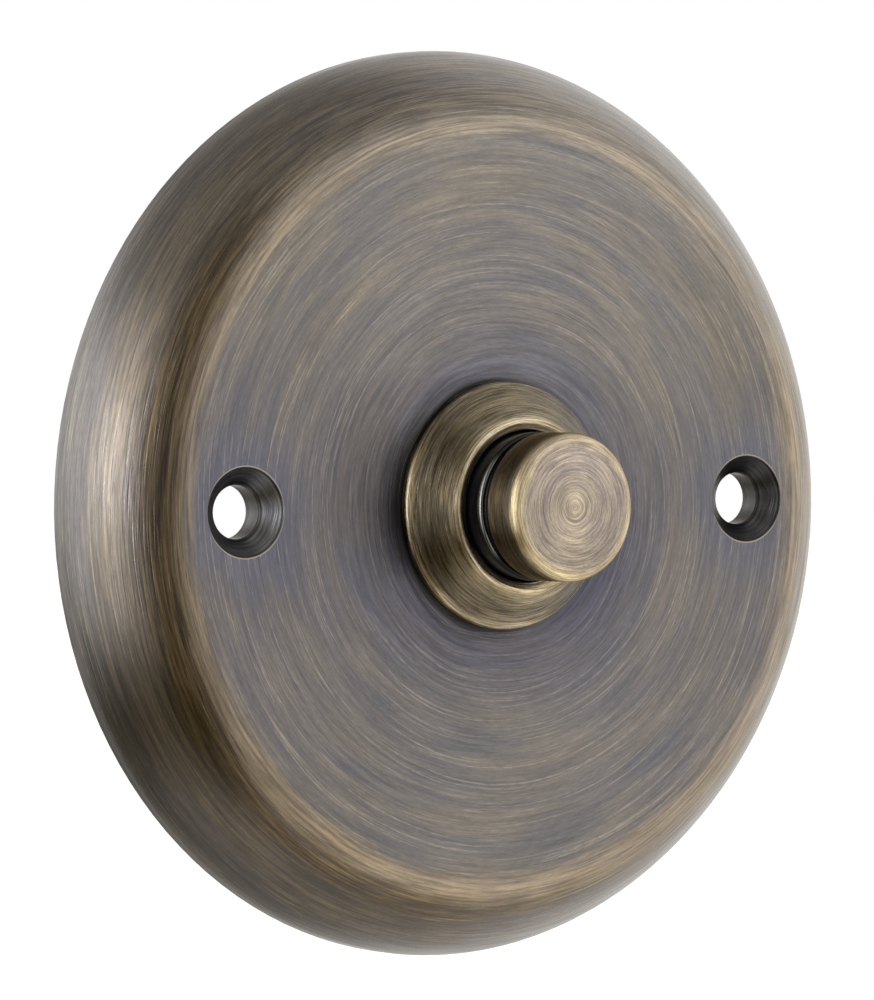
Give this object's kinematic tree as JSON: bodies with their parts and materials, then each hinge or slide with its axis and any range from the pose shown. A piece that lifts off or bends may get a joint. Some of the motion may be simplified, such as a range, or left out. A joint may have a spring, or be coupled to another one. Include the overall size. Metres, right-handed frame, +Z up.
{
  "type": "doorbell",
  "caption": "Round bell push in aged brass: hollow cushioned plate, coned collar and a sprung brass-capped button over a pair of contacts, screwed to a wall.",
  "frame": {"origin": "centre of the wall plane, on the button's axis, where the plate's rear rim meets the wall", "axes": "+Z up, -Y out of the wall towards the person who presses, +Y into the wall, +X to the right seen from the front"},
  "size_m": [0.076, 0.0328, 0.076],
  "materials": {
    "aged_brass": "brushed, dark patina, lacquered",
    "bright_brass": "machined",
    "contact_bronze": "rolled strip",
    "spring_steel": "drawn and plated",
    "black_moulding": "glossy",
    "housing_moulding": "satin moulded",
    "bush_moulding": "satin moulded"
  },
  "bodies": {
    "base": {"cover_plate": "aged_brass", "collar": "aged_brass", "lock_washer": "spring_steel", "lock_nut": "bright_brass", "guide_bush": "bush_moulding", "return_spring": "spring_steel", "terminal_housing": "housing_moulding", "contact_left": "contact_bronze", "contact_right": "contact_bronze", "terminal_insert_left": "bright_brass", "terminal_insert_right": "bright_brass", "terminal_washer_left": "bright_brass", "terminal_washer_right": "bright_brass", "terminal_screw_left": "bright_brass", "terminal_screw_right": "bright_brass"},
    "button": {"plunger": "black_moulding", "button_cap": "aged_brass", "retaining_clip": "spring_steel", "contact_bridge": "contact_bronze", "bridge_rivet": "bright_brass"}
  },
  "joints": [
    {"name": "button_press", "type": "slide", "parent": "base", "child": "button", "axis": [0, 1, 0], "range_m": [0, 0.0025], "stiffness_N_per_m": 500, "springref_m": -0.0025, "deforming": ["return_spring"]}
  ]
}
